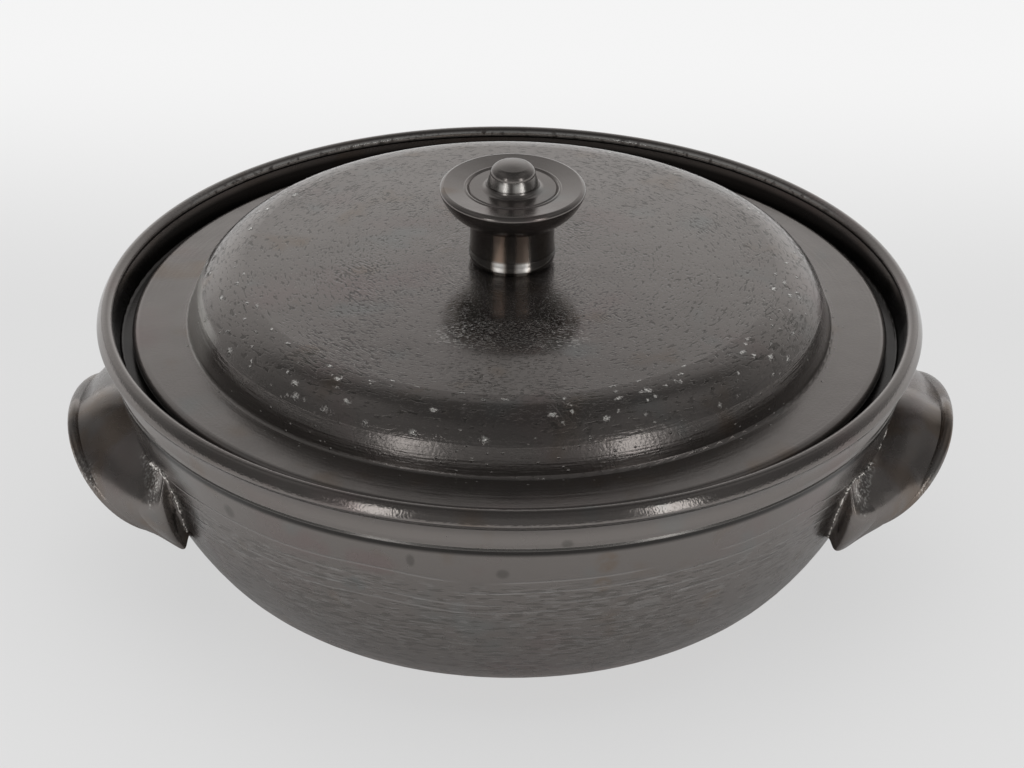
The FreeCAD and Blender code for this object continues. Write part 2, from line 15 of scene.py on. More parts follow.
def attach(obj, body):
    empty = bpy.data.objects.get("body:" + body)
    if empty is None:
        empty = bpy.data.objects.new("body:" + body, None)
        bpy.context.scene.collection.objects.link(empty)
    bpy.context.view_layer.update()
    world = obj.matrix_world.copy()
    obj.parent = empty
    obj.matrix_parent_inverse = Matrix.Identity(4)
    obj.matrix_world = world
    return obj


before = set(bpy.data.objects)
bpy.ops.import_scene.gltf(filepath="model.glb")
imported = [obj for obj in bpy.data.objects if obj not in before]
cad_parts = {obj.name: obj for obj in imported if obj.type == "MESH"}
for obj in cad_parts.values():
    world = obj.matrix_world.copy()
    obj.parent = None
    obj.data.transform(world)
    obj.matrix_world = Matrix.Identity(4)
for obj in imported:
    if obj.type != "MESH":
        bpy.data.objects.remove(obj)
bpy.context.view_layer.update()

MM = 0.001
bpy.context.scene.view_settings.view_transform = "Standard"


# %% [markdown]
# Every operator acts on whatever is selected, so each step starts from a clean state:
# object mode, nothing selected. The helper does that and is used before each new piece.
# A second helper selects all of a mesh in edit mode, for the operators that follow it.

# %% A clean start
def clean_start():
    if bpy.context.mode != "OBJECT":
        bpy.ops.object.mode_set(mode="OBJECT")
    bpy.ops.object.select_all(action="DESELECT")


def edit_all():
    bpy.ops.object.mode_set(mode="EDIT")
    bpy.ops.mesh.select_all(action="SELECT")


clean_start()


# %% [markdown]
# The camera stands in front of the dish and a little above it, with a long lens, as for
# a catalogue picture. A long lens keeps the rim's ellipse calm. Its place was worked out
# from the ellipses of the rim, the lid and the knob.

# %% Camera
CAMERA_PLACE = Vector((1.065, -2091.08, 1225.0)) * MM
CAMERA_PITCH = 0.5043
CAMERA_ROLL = 0.0125
camera_data = bpy.data.cameras.new("catalogue_camera")
camera_data.sensor_width = 36.0
camera_data.lens = 246.09
camera_data.clip_end = 50
camera = bpy.data.objects.new("catalogue_camera", camera_data)
bpy.context.scene.collection.objects.link(camera)
pitched = Matrix.Rotation(math.pi / 2 - CAMERA_PITCH, 4, "X")
rolled = Matrix.Rotation(CAMERA_ROLL, 4, "Z")
camera.matrix_world = Matrix.Translation(CAMERA_PLACE) @ pitched @ rolled
bpy.context.scene.camera = camera
print("camera distance in m:", round(CAMERA_PLACE.length, 3))


# %% [markdown]
# Shader maths reads best as plain expressions. This small class wraps one socket of a
# node tree. Its operators add Math nodes, also with a number on the left, and its node
# method makes any other kind of node, with its settings first and its inputs after. Some
# sockets are only told apart by their number, so those numbers get a name.

# %% A socket that can be reckoned with
OBJECT_OUTPUT = 3
MIX_FIRST, MIX_SECOND, MIX_RESULT = 6, 7, 2


class Wire:
    def __init__(self, tree, socket):
        self.tree = tree
        self.socket = socket

    def _plug(self, target, value):
        if isinstance(value, Wire):
            self.tree.links.new(value.socket, target)
        elif value is not None:
            target.default_value = value

    def node(self, kind, settings=None, inputs=None, out=0):
        made = self.tree.nodes.new(kind)
        for name, value in (settings or {}).items():
            if name == "stops":
                ramp = made.color_ramp
                while len(ramp.elements) < len(value):
                    ramp.elements.new(0.5)
                for element, (place, colour) in zip(ramp.elements, value):
                    element.position = place
                    element.color = (*colour, 1.0)
            else:
                setattr(made, name, value)
        for name, value in (inputs or {}).items():
            self._plug(made.inputs[name], value)
        return Wire(self.tree, made.outputs[out] if made.outputs else None)

    def reckon(self, operation, *values):
        return self.node("ShaderNodeMath", {"operation": operation}, dict(enumerate(values)))

    def __add__(self, other):
        return self.reckon("ADD", self, other)

    def __radd__(self, other):
        return self.reckon("ADD", other, self)

    def __sub__(self, other):
        return self.reckon("SUBTRACT", self, other)

    def __rsub__(self, other):
        return self.reckon("SUBTRACT", other, self)

    def __mul__(self, other):
        return self.reckon("MULTIPLY", self, other)

    def __rmul__(self, other):
        return self.reckon("MULTIPLY", other, self)

    def __truediv__(self, other):
        return self.reckon("DIVIDE", self, other)

    def __rtruediv__(self, other):
        return self.reckon("DIVIDE", other, self)

    def __pow__(self, other):
        return self.reckon("POWER", self, other)

    def __abs__(self):
        return self.reckon("ABSOLUTE", self)

    def smooth(self, low, high, to_low=0.0, to_high=1.0, kind="SMOOTHSTEP"):
        """A soft step: to_low where the value is low, to_high where it is high."""
        inputs = {"Value": self, "From Min": low, "From Max": high,
                  "To Min": to_low, "To Max": to_high}
        return self.node("ShaderNodeMapRange", {"interpolation_type": kind}, inputs)

    def between(self, low, full_low, full_high, high):
        """1 between the two middle values, fading to 0 at the two outer ones."""
        return self.smooth(low, full_low) * self.smooth(high, full_high)

    def tint(self, first, second):
        """The first colour where this mask is 0, the second where it is 1."""
        first, second = [c if isinstance(c, Wire) else (*c, 1.0) for c in (first, second)]
        colours = {0: self, MIX_FIRST: first, MIX_SECOND: second}
        return self.node("ShaderNodeMix", {"data_type": "RGBA"}, colours, out=MIX_RESULT)

    def axes(self):
        """The three parts of a vector."""
        split = self.node("ShaderNodeSeparateXYZ", {}, {0: self})
        return [Wire(self.tree, output) for output in split.socket.node.outputs]


def new_tree(owner):
    owner.use_nodes = True
    owner.node_tree.nodes.clear()
    return Wire(owner.node_tree, None)


# %% [markdown]
# The ground is one wide pale sheet of paper. A grid of a few faces is enough, because
# nothing bends it. It lies level with the underside of the foot ring and is moved back a
# little, so that its far edge stays out of every view.

# %% Ground
GROUND_WIDTH = 9.0
GROUND_MIDDLE = (0, 1.0, 0)
clean_start()
bpy.ops.mesh.primitive_grid_add(
    x_subdivisions=2, y_subdivisions=2, size=GROUND_WIDTH, location=GROUND_MIDDLE)
ground = bpy.context.object
ground.name = "studio_ground"
bpy.ops.object.transform_apply(location=True)
print("ground sheet, metres wide:", GROUND_WIDTH)


# %% [markdown]
# The paper is painted lighter towards the back, as painted light from the backdrop. The
# camera sees most of its tone as plain paper white, through Light Path, and the glaze a
# quarter of it. The rest is real light on paper, which keeps the dish's shadow, and keeps
# it soft. The paper doesn't count as a lamp, because it gives hardly any light to the dish.

# %% Paper of the ground
NEAR_TONE = (0.75, 0.75, 0.75)
MIDDLE_TONE = (0.73, 0.73, 0.73)
FAR_TONE = (0.91, 0.91, 0.91)
CAMERA_SHARE = 0.82
MIRROR_SHARE = 0.25
paper = bpy.data.materials.new("pale_paper")
start = new_tree(paper)
_, north, _ = start.node("ShaderNodeTexCoord", out=OBJECT_OUTPUT).axes()
# Painted light: the paper's tone rises towards the back.
paper_tone = north.smooth(0.17, 0.40).tint(MIDDLE_TONE, FAR_TONE)
paper_tone = north.smooth(-0.15, 0.05).tint(NEAR_TONE, paper_tone)
light_path = start.node("ShaderNodeLightPath").socket.node.outputs
by_camera, by_glaze, by_glass = [Wire(start.tree, light_path[ray]) for ray in (
    "Is Camera Ray", "Is Glossy Ray", "Is Transmission Ray")]
paper_share = by_camera * CAMERA_SHARE + by_glaze * MIRROR_SHARE + by_glass * MIRROR_SHARE
lit_paper = start.node("ShaderNodeBsdfPrincipled", {}, {
    "Base Color": paper_tone, "Roughness": 0.9, "Specular IOR Level": 0.0})
plain_paper = start.node("ShaderNodeEmission", {}, {"Color": paper_tone, "Strength": 1.0})
paper_shader = start.node("ShaderNodeMixShader", {}, {
    0: paper_share, 1: lit_paper, 2: plain_paper})
start.node("ShaderNodeOutputMaterial", {}, {"Surface": paper_shader})
paper.cycles.emission_sampling = "NONE"
ground.data.materials.append(paper)
print("paper shown plain to the camera:", CAMERA_SHARE)


# %% [markdown]
# A dark glossy glaze is seen mostly through what it mirrors, so the studio round the dish
# matters as much as the glaze. Here it is a pale backdrop behind, brightest low down and
# in the middle, dark sides, a dark ceiling and a dim room behind the camera. Each row
# below gives the brightness from the horizon up to the ceiling for one direction, in
# degrees from straight behind the dish.

# %% Brightness of the studio, as degrees above the horizon and level
STUDIO = {
    0: ((0, 0.95), (8, 0.80), (20, 0.80), (25, 0.68), (30, 0.60), (35, 0.45), (38, 0.29),
        (62, 0.27), (64.5, 0.10), (75, 0.085)),
    15: ((0, 0.90), (20, 0.85), (25, 0.73), (30, 0.62), (35, 0.48), (40, 0.41), (45, 0.33),
         (50, 0.28), (60, 0.20), (64, 0.10), (75, 0.085)),
    30: ((0, 0.78), (15, 0.77), (20, 0.70), (25, 0.60), (30, 0.56), (35, 0.50), (40, 0.45),
         (45, 0.40), (50, 0.35), (55, 0.20), (60, 0.14), (70, 0.09)),
    45: ((0, 0.53), (20, 0.53), (27, 0.48), (37, 0.45), (45, 0.30), (50, 0.19), (60, 0.15),
         (70, 0.09)),
    60: ((0, 0.30), (5, 0.35), (30, 0.35), (40, 0.20), (50, 0.12), (65, 0.10), (75, 0.085)),
    90: ((0, 0.12), (30, 0.15), (40, 0.25), (60, 0.28), (70, 0.12), (80, 0.085)),
    120: ((0, 0.16), (30, 0.17), (50, 0.22), (60, 0.17), (70, 0.09)),
    180: ((0, 0.24), (20, 0.24), (25, 0.16), (30, 0.14), (35, 0.12), (60, 0.12), (65, 0.11),
          (75, 0.088)),
}
print("studio rows:", len(STUDIO))


# %% [markdown]
# The world shader finds how high and how far aside a mirrored ray goes, reads each row as
# a colour ramp by height, and blends from one row to the next by the angle aside. The
# backdrop side gets a little more light than the rows say. The camera itself sees plain
# white.

# %% Studio surroundings
BACKDROP_LIFT = 1.13
world = bpy.data.worlds.new("studio")
bpy.context.scene.world = world
start = new_tree(world)
east, north, upward = start.node("ShaderNodeTexCoord").axes()
height = start.reckon("ARCSINE", upward) * (2 / math.pi)
aside = abs(start.reckon("ARCTAN2", east, north)) * (180 / math.pi)
level, last = None, None
for degrees, row in STUDIO.items():
    stops = [(elevation / 90, (value,) * 3) for elevation, value in row]
    ramp = start.node("ShaderNodeValToRGB", {"stops": stops}, {0: height}).axes()[0]
    if level is None:
        level = ramp
    else:
        share = aside.smooth(last, degrees, kind="LINEAR")
        level = level * (1 - share) + ramp * share
    last = degrees
level = level * aside.smooth(40, 75, BACKDROP_LIFT, 1.0)
camera_ray = start.node("ShaderNodeLightPath")
shown = camera_ray + (1 - camera_ray) * level
background = start.node("ShaderNodeBackground", {}, {"Color": (1, 1, 1, 1), "Strength": shown})
start.node("ShaderNodeOutputWorld", {}, {"Surface": background})
print("nodes in the world:", len(world.node_tree.nodes))


# %% [markdown]
# Two tall soft boxes stand low in front, one to each side of the camera. They draw the
# paired highlights on rim, knob and crease. A wide sheet overhead lights the scene
# evenly. It is kept out of mirror reflections, because the real ceiling looks dark there.
# An area lamp's watts follow from its size and the brightness that it shows.

# %% Lamps
AIM = Vector((0, 0, 60)) * MM


def soft_box(name, azimuth, elevation, distance, width, height, brightness):
    """A soft box at this azimuth to the right of the camera, seen from the dish."""
    turn, rise = math.radians(azimuth), math.radians(elevation)
    place = Vector((math.sin(turn) * math.cos(rise), -math.cos(turn) * math.cos(rise),
                    math.sin(rise))) * distance
    lamp = bpy.data.lights.new(name, "AREA")
    lamp.shape = "RECTANGLE"
    lamp.size, lamp.size_y = width, height
    lamp.energy = brightness * math.pi * width * height
    holder = bpy.data.objects.new(name, lamp)
    bpy.context.scene.collection.objects.link(holder)
    holder.rotation_mode = "QUATERNION"
    holder.rotation_quaternion = (AIM - place).to_track_quat("-Z", "Y")
    holder.location = place
    holder.visible_camera = False
    print(name, "at", [round(v, 2) for v in place], "watts", round(lamp.energy, 1))
    return holder


soft_box("soft_box_right", azimuth=42.5, elevation=13, distance=2.4,
         width=0.42, height=1.1, brightness=2.6)
soft_box("soft_box_left", azimuth=-34, elevation=13, distance=2.4,
         width=0.42, height=1.1, brightness=2.3)
overhead = soft_box("overhead_sheet", azimuth=180, elevation=86, distance=2.2,
                    width=3.4, height=3.4, brightness=1.75)
overhead.visible_glossy = False


# %% [markdown]
# Wheel-thrown ware carries marks that run round the axis. Each finish reads the object's
# coordinates as radius, direction round the axis and height. The turn is 0 in front and
# grows to the right. Stretching a noise along the direction round the axis gives dashes,
# grooves and rings that follow the wheel, with no seam anywhere, because the direction
# goes in as two parts on a circle. In every coat below, the numbers of smooth and between
# are the places where a mask is still 0 and where it is full: metres for x, y, z and
# radius, radians for the turn, and plain height for a noise.

# %% Helpers for thrown surfaces
class Turned:
    """Object coordinates of a piece thrown on the wheel."""
    def __init__(self, material):
        self.start = new_tree(material)
        self.place = self.start.node("ShaderNodeTexCoord", {}, {}, out=OBJECT_OUTPUT)
        self.x, self.y, self.z = self.place.axes()
        self.radius = (self.x * self.x + self.y * self.y) ** 0.5
        self.turn = self.start.reckon("ARCTAN2", self.x, 0 - self.y)

    def round_the_wheel(self, across, along, shift=0.0):
        """across: the place across the marks, counted in marks. along: marks per radian."""
        circle = {0: across + shift, 1: self.x / self.radius * along,
                  2: self.y / self.radius * along}
        return self.start.node("ShaderNodeCombineXYZ", {}, circle)

    def noise(self, vector, scale=1.0, detail=0.0):
        inputs = {"Vector": vector, "Scale": scale, "Detail": detail}
        return self.start.node("ShaderNodeTexNoise", {}, inputs)

    def dragged(self, across, along, shift, least, crowding, more, fade):
        """Short dashes that follow the wheel, more of them where they crowd."""
        marks = self.noise(self.round_the_wheel(across, along, shift))
        return (marks - least + crowding * more).smooth(0.0, fade)

    def cells(self, vector, scale=1.0):
        """Distance from the middle of each cell, and the cell's own random number."""
        found = self.start.node("ShaderNodeTexVoronoi", {}, {"Vector": vector, "Scale": scale})
        colour = Wire(found.tree, found.socket.node.outputs["Color"])
        return found, colour.axes()[0]

    def spot(self, turn, height, half_width, half_height):
        """1 in the middle of an oval spot on a wall, 0 at its edge, places in mm."""
        sideways = (self.turn - turn) * (self.radius / (half_width * MM))
        upward = (self.z - height * MM) / (half_height * MM)
        return (sideways * sideways + upward * upward).smooth(1.3, 0.1)


# %% [markdown]
# Every coat ends the same way: the relief, in metres, goes through one Bump node into one
# Principled shader. A few more helpers put a coat on a piece of the frame, without
# touching its mesh, and add up masks that lie side by side.

# %% Helpers for coats
def finish(surface, colour, roughness, metallic, relief):
    bump = surface.start.node("ShaderNodeBump", {}, {
        "Strength": 1.0, "Distance": 1.0, "Height": relief})
    shader = surface.start.node("ShaderNodeBsdfPrincipled", {}, {
        "Base Color": colour, "Roughness": roughness, "Metallic": metallic, "Normal": bump})
    surface.start.node("ShaderNodeOutputMaterial", {}, {"Surface": shader})
    print("nodes in this coat:", len(surface.start.tree.nodes))


def coat(node, material):
    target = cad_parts[node]
    target.data.materials.clear()
    target.data.materials.append(material)
    print(node, "is coated with", material.name)


def add_up(masks):
    total = masks[0]
    for mask in masks[1:]:
        total = total + mask
    return total


# %% [markdown]
# The glaze is a black with so much iron and manganese that it came out of the kiln with a
# metal-like lustre: it mirrors about a fifth of the light at every angle. A metallic
# surface with a dark, slightly warm colour does the same. Where the coat is thin it turns
# brown or rosy, where it is thick it is a cool grey, and where tools wore it, it is paler.
# The dark colour is also used as painted shade, and the bright one is a painted glint.

# %% Glaze colours
GLAZE = (0.214, 0.196, 0.185)
GLAZE_ROSY = (0.215, 0.180, 0.172)
GLAZE_BROWN = (0.200, 0.163, 0.135)
GLAZE_COOL = (0.203, 0.204, 0.198)
GLAZE_DARK_AND_PAINTED_SHADE = (0.105, 0.098, 0.090)
GLAZE_WORN = (0.330, 0.318, 0.308)
PAINTED_GLINT = (0.60, 0.58, 0.55)
LUSTRE = 0.955


def mottle(surface, shift):
    """The glaze's colour with its broad clouds and fine speckle."""
    clouds = surface.noise(surface.place, 26.0 + shift, 3.0)
    patches = surface.noise(surface.place, 41.0 + shift, 2.0)
    colour = clouds.smooth(0.52, 0.72, 0.0, 0.75).tint(GLAZE, GLAZE_ROSY)
    colour = patches.smooth(0.60, 0.75, 0.0, 0.7).tint(colour, GLAZE_BROWN)
    colour = patches.smooth(0.40, 0.24, 0.0, 0.7).tint(colour, GLAZE_COOL)
    return colour


# %% [markdown]
# The lid was thrown and smoothed with a rib, which dragged short dashes round the dome and
# left patches of slanting scratches. Dashes are a noise stretched round the wheel, cut off
# so that only its peaks stay. Scratches are a noise on coordinates that a Mapping node
# turns and squeezes. In front of the knob the rib combed the glaze more than elsewhere.

# %% Dashes and scratches on the dome
lid_glaze = bpy.data.materials.new("lid_lustre_glaze")
lid = Turned(lid_glaze)
on_dome = lid.radius.smooth(0.108, 0.100)

crowding = lid.noise(lid.place, 30.0, 2.0).smooth(0.44, 0.64)
dashes = lid.dragged(lid.radius / 0.0008, along=30.0, shift=0.0, least=0.665,
                     crowding=crowding, more=0.055, fade=0.05) * on_dome
fine_dashes = lid.dragged(lid.radius / 0.00045, along=52.0, shift=31.0, least=0.675,
                          crowding=crowding, more=0.075, fade=0.06) * on_dome

SCRATCH_SLANT = math.radians(-52)
SCRATCH_SIZE = (0.0040, 0.0009, 0.0040)
slant = lid.start.node("ShaderNodeMapping", {"vector_type": "TEXTURE"}, {
    "Vector": lid.place, "Rotation": (0, 0, SCRATCH_SLANT), "Scale": SCRATCH_SIZE})
scratch_place = lid.noise(lid.place, 30.0, 1.0).smooth(0.61, 0.66)
scratches = lid.noise(slant, 1.0).smooth(0.62, 0.70) * scratch_place * on_dome

COMB_MIDDLE = -0.053
COMB_HALF_WIDTH, COMB_HALF_DEPTH = 0.026, 0.011
comb_x = lid.x / COMB_HALF_WIDTH
comb_y = (lid.y - COMB_MIDDLE) / COMB_HALF_DEPTH
under_knob = (comb_x ** 2 + comb_y ** 2).smooth(1.3, 0.5)
combed_with_painted_glint = lid.noise(lid.round_the_wheel(lid.radius / 0.0006, 38.0, 90.0)).smooth(0.58, 0.66)
combed_with_painted_glint = combed_with_painted_glint * under_knob
print("lid coat, nodes so far:", len(lid_glaze.node_tree.nodes))


# %% [markdown]
# Bubbles in the glaze gathered over the crease and burst into small pits that catch the
# soft boxes, and a painted glint in their colour brightens them. Each pit is a cell of a
# Voronoi pattern. The cell's random number decides whether it has a pit, and a fine noise
# makes its edge ragged, so that it doesn't look like a printed dot. Pimples and sparks are
# the same at smaller sizes, with painted glints too.

# %% Pits, pimples and sparks over the crease
pit_zone = lid.radius.between(0.085, 0.091, 0.1052, 0.1068)
ragged = (lid.noise(lid.place, 1300.0, 1.0) - 0.5) * 0.5
gathering = lid.noise(lid.place, 48.0, 1.0).smooth(0.40, 0.60, -0.10, 0.05)

pit_distance, pit_chance = lid.cells(lid.round_the_wheel(lid.radius / 0.0030, 17.0, 7.0))
pit_there = (pit_chance * pit_zone + gathering).smooth(0.70, 0.72)
pits_with_painted_glint = (pit_distance + ragged).smooth(0.30, 0.02) * pit_there

pimple_distance, pimple_chance = lid.cells(lid.place, 330.0)
pimple_there = (pimple_chance * pit_zone + gathering).smooth(0.84, 0.86)
pimples_with_painted_glint = (pimple_distance + ragged).smooth(0.26, 0.02) * pimple_there

spark_zone = lid.radius.between(0.098, 0.106, 0.112, 0.121)
spark_distance, spark_chance = lid.cells(lid.place, 600.0)
spark_there = (spark_chance * spark_zone).smooth(0.90, 0.92)
sparks_with_painted_glint = spark_distance.smooth(0.34, 0.05) * spark_there
print("lid coat, nodes so far:", len(lid_glaze.node_tree.nodes))


# %% [markdown]
# Where the knob was turned onto the dome, rings stayed. The flank under the crease was
# dragged and is gritty, and on the left a pale painted reflection lies over it. The flange
# keeps fine throwing rings. These marks are masks and small heights, made the same way.

# %% Marks by the knob, on the flank and on the flange
by_the_knob = lid.radius.smooth(0.034, 0.026)
on_flank = lid.radius.between(0.1035, 0.1050, 0.1092, 0.1110)
on_flange = lid.radius.smooth(0.106, 0.111)

knob_turns = lid.noise(lid.round_the_wheel(lid.radius / 0.0007, 9.0, 50.0))
knob_turns = knob_turns.smooth(0.50, 0.72) * by_the_knob
flank_drag = lid.noise(lid.round_the_wheel(lid.z / 0.0006, 7.0, 70.0), 1.0, 1.0) * on_flank
flank_grit = lid.noise(lid.place, 900.0, 1.0) * on_flank
# A pale painted reflection lightens the flank on the left.
left_flank_painted_reflection = lid.turn.between(-1.88, -1.72, -1.30, -1.16)
left_flank_painted_reflection = left_flank_painted_reflection * lid.radius.between(0.1038, 0.1050, 0.1088, 0.1100)

rings = lid.noise(lid.round_the_wheel(lid.radius / 0.0009, 0.6, 3.0)) * on_flange
pebbling = lid.noise(lid.place, 1100.0, 1.0) * on_flange
rib_rings = lid.noise(lid.round_the_wheel(lid.radius / 0.0011, 3.0, 5.0)) * on_dome
print("lid coat, nodes so far:", len(lid_glaze.node_tree.nodes))


# %% [markdown]
# Now the marks come together. The relief adds each mark at its own height, in mm. The
# flank also bellies a little more than the frame's, so a parabola of height is added
# there. Dashes and scratches are dark. Pits, pimples, sparks and combed marks get painted
# glints in their colour, and the left flank a pale painted reflection.

# %% Glaze of the lid
FLANK_FOOT, FLANK_TOP = 0.0955, 0.1020
BELLY_CURVE = 14
PIT_PAINTED_GLINT = (0.85, 0.83, 0.79)

belly = lid.z.smooth(FLANK_FOOT, FLANK_TOP, FLANK_FOOT - FLANK_TOP, 0.0, kind="LINEAR")
relief = lid.noise(lid.place, 42.0, 1.0) * (0.18 * MM)
relief = relief + rings * (0.025 * MM) + pebbling * (0.030 * MM) + rib_rings * (0.005 * MM)
relief = relief - dashes * (0.07 * MM) - fine_dashes * (0.04 * MM) - scratches * (0.08 * MM)
relief = relief + pits_with_painted_glint * (0.60 * MM) + pimples_with_painted_glint * (0.45 * MM) + sparks_with_painted_glint * (0.25 * MM)
relief = relief - belly * belly * BELLY_CURVE - knob_turns * (0.03 * MM)
relief = relief + flank_drag * (0.10 * MM) + flank_grit * (0.07 * MM) - combed_with_painted_glint * (0.07 * MM)

lid_dark = dashes * 0.65 + fine_dashes * 0.45 + scratches * 0.4
lid_colour = lid_dark.tint(mottle(lid, 0.0), GLAZE_DARK_AND_PAINTED_SHADE)
# Painted reflection: the left flank is tinted pale.
lid_colour = (left_flank_painted_reflection * 0.8).tint(lid_colour, PAINTED_GLINT)
# Painted glints on the sparks, the combed marks, the pits and the pimples.
lid_colour = (sparks_with_painted_glint * 0.6 + combed_with_painted_glint * 0.5).tint(lid_colour, PAINTED_GLINT)
lid_colour = (pits_with_painted_glint * 0.9 + pimples_with_painted_glint * 0.9).tint(lid_colour, PIT_PAINTED_GLINT)
lid_roughness = lid.noise(lid.place, 90.0, 2.0).smooth(0.3, 0.7, 0.13, 0.19)
lid_roughness = lid_roughness + on_flange * 0.08 + on_flank * 0.10 + left_flank_painted_reflection * 0.15
finish(lid, lid_colour, lid_roughness, LUSTRE, relief)
coat("lid", lid_glaze)


# %% [markdown]
# The knob was turned last, so its glaze lies smooth, with only faint rings. In front, the
# soft boxes' reflections are painted into its colour: two warm brown upright streaks on
# the stem, and bright painted highlights at the stem's foot and on the button's side. The
# stem and the button's side get painted shade, and so does the foot beside the highlights.
# Each zone is a mask of height, radius and turn.

# %% Zones of the knob
knob_glaze = bpy.data.materials.new("knob_lustre_glaze")
knob = Turned(knob_glaze)
on_button = knob.radius.smooth(0.0100, 0.0096)
button_side = knob.z.between(0.1474, 0.1490, 0.1502, 0.1522) * on_button
on_stem = knob.radius.smooth(0.0165, 0.0155) * knob.z.smooth(0.1385, 0.1365)
at_the_foot = knob.z.smooth(0.1255, 0.1242) * on_stem

# Turns at which the soft boxes' reflections are painted on the stem and the button.
STEM_REFLECTION_TURN = 0.28
BUTTON_HIGHLIGHT_TURN = 0.33
stem_painted_reflections = abs(abs(knob.turn) - STEM_REFLECTION_TURN).smooth(0.22, 0.07) * on_stem
button_painted_highlights = abs(abs(knob.turn) - BUTTON_HIGHLIGHT_TURN).smooth(0.34, 0.10) * button_side
stem_painted_streaks = knob.noise(knob.round_the_wheel(knob.z / 0.03, 3.0, 4.0))
stem_painted_streaks = stem_painted_streaks.smooth(0.46, 0.62) * on_stem
print("knob coat, nodes so far:", len(knob_glaze.node_tree.nodes))


# %% [markdown]
# The stem spreads towards its foot. The frame's stem is nearly straight there, so the
# relief leans the last few millimetres outwards, at once by a fixed slope and then more
# and more.

# %% Glaze of the knob
FLARE_FOOT, FLARE_TOP = 0.1210, 0.1245
FLARE_LEAN, FLARE_CURVE = 0.36, 25
STEM_PAINTED_REFLECTION = (0.52, 0.39, 0.31)
PAINTED_HIGHLIGHT = (0.85, 0.82, 0.78)
FOOT_SHADE = (0.04, 0.036, 0.032)

flare = knob.z.smooth(FLARE_FOOT, FLARE_TOP, FLARE_TOP - FLARE_FOOT, 0.0, kind="LINEAR")
relief = knob.noise(knob.round_the_wheel(knob.z / 0.0011, 0.8)) * (0.02 * MM)
relief = relief + knob.noise(knob.round_the_wheel(knob.radius / 0.0009, 0.8, 9.0)) * (0.012 * MM)
relief = relief + knob.noise(knob.place, 90.0, 1.0) * (0.10 * MM)
relief = relief + knob.noise(knob.place, 1200.0, 1.0) * (0.012 * MM)
relief = relief + (flare * FLARE_LEAN + flare * flare * FLARE_CURVE) * on_stem

# Painted reflections: warm brown streaks on the stem.
knob_colour = (stem_painted_streaks * 0.5).tint(mottle(knob, 9.0), GLAZE_BROWN)
# Painted shade: the stem and the button's side darker, and the foot beside the highlights.
knob_colour = (on_stem * 0.45 + button_side * 0.5).tint(knob_colour, GLAZE_DARK_AND_PAINTED_SHADE)
knob_colour = (at_the_foot * (1 - stem_painted_reflections) * 0.6).tint(knob_colour, FOOT_SHADE)
knob_colour = (stem_painted_reflections * (stem_painted_streaks * 0.5 + 0.5)).tint(knob_colour, STEM_PAINTED_REFLECTION)
# Painted highlights at the stem's foot and on the button's side.
knob_colour = (stem_painted_reflections * at_the_foot + button_painted_highlights * 0.8).tint(knob_colour, PAINTED_HIGHLIGHT)
knob_roughness = knob.noise(knob.place, 140.0, 2.0).smooth(0.3, 0.7, 0.18, 0.25)
knob_roughness = knob_roughness + (stem_painted_reflections + button_painted_highlights) * 0.13
finish(knob, knob_colour, knob_roughness, LUSTRE, relief)
coat("knob", knob_glaze)


# %% [markdown]
# The bowl's upper wall was ribbed smooth, with one incised line that the frame carries as
# shape. Lower down the turning tool dragged grit through the clay: rows of short dashes,
# dark and pale, and a few long wavering grooves. A groove is the distance from its height,
# with a slow noise that makes it waver and another that breaks it.

# %% Drag marks and grooves on the bowl
bowl_glaze = bpy.data.materials.new("bowl_lustre_glaze_and_clay")
bowl = Turned(bowl_glaze)
low_wall = bowl.z.smooth(0.070, 0.063)
drag_place = bowl.noise(bowl.round_the_wheel(bowl.z / 0.016, 4.0, 2.0)).smooth(0.36, 0.60)
drags = bowl.dragged(bowl.z / 0.0011, along=20.0, shift=12.0, least=0.62,
                     crowding=drag_place, more=0.07, fade=0.05) * low_wall
pale_drags = bowl.dragged(bowl.z / 0.0009, along=22.0, shift=40.0, least=0.64,
                          crowding=drag_place, more=0.07, fade=0.05) * low_wall

GROOVE_HEIGHTS = (0.0705, 0.0655, 0.0598, 0.0560)
WAVER = 0.009
waver = bowl.noise(bowl.round_the_wheel(bowl.z / 0.2, 2.4, 60.0)) * WAVER


def groove(groove_height):
    offset = abs(bowl.z + waver - groove_height - WAVER / 2)
    pattern = bowl.round_the_wheel(bowl.z / 0.02, 3.0, groove_height * 9000)
    return offset.smooth(0.0006, 0.0001) * bowl.noise(pattern).smooth(0.40, 0.52)


grooves = add_up([groove(groove_height) for groove_height in GROOVE_HEIGHTS])
print("grooves:", len(GROOVE_HEIGHTS))


# %% [markdown]
# The kiln left rosy, brown and cool patches and some dark spots. The ones in front have
# their places, the others are spread over the sides and the back. Each is an oval given by
# its turn in radians, then its height, half width and half height in mm.

# %% Spots on the bowl
GLAZE_SPOTS = (
    (GLAZE_ROSY, ((-0.506, 73.4, 8, 7), (-0.349, 72.4, 11, 6), (1.9, 70.0, 14, 8),
                  (-2.4, 74.0, 12, 7))),
    (GLAZE_BROWN, ((0.250, 76.0, 4.5, 5), (0.245, 66.0, 3.5, 4), (2.7, 66.0, 6, 5))),
    (GLAZE_COOL, ((-0.405, 60.5, 5, 4), (1.2, 60.0, 6, 5))),
)
DARK_SPOTS = ((-0.009, 72.9, 2.4, 2.4), (-0.238, 76.1, 1.6, 3.0), (0.146, 85.8, 2.2, 1.8),
              (-0.765, 74.3, 2.6, 3.0), (2.2, 76.0, 2.4, 2.4))
edge_of_spots = bowl.noise(bowl.place, 160.0, 2.0).smooth(0.30, 0.55)
bowl_colour = mottle(bowl, 4.0)
for spot_colour, spots in GLAZE_SPOTS:
    spot_mask = add_up([bowl.spot(*spot) for spot in spots])
    bowl_colour = (spot_mask * edge_of_spots).tint(bowl_colour, spot_colour)
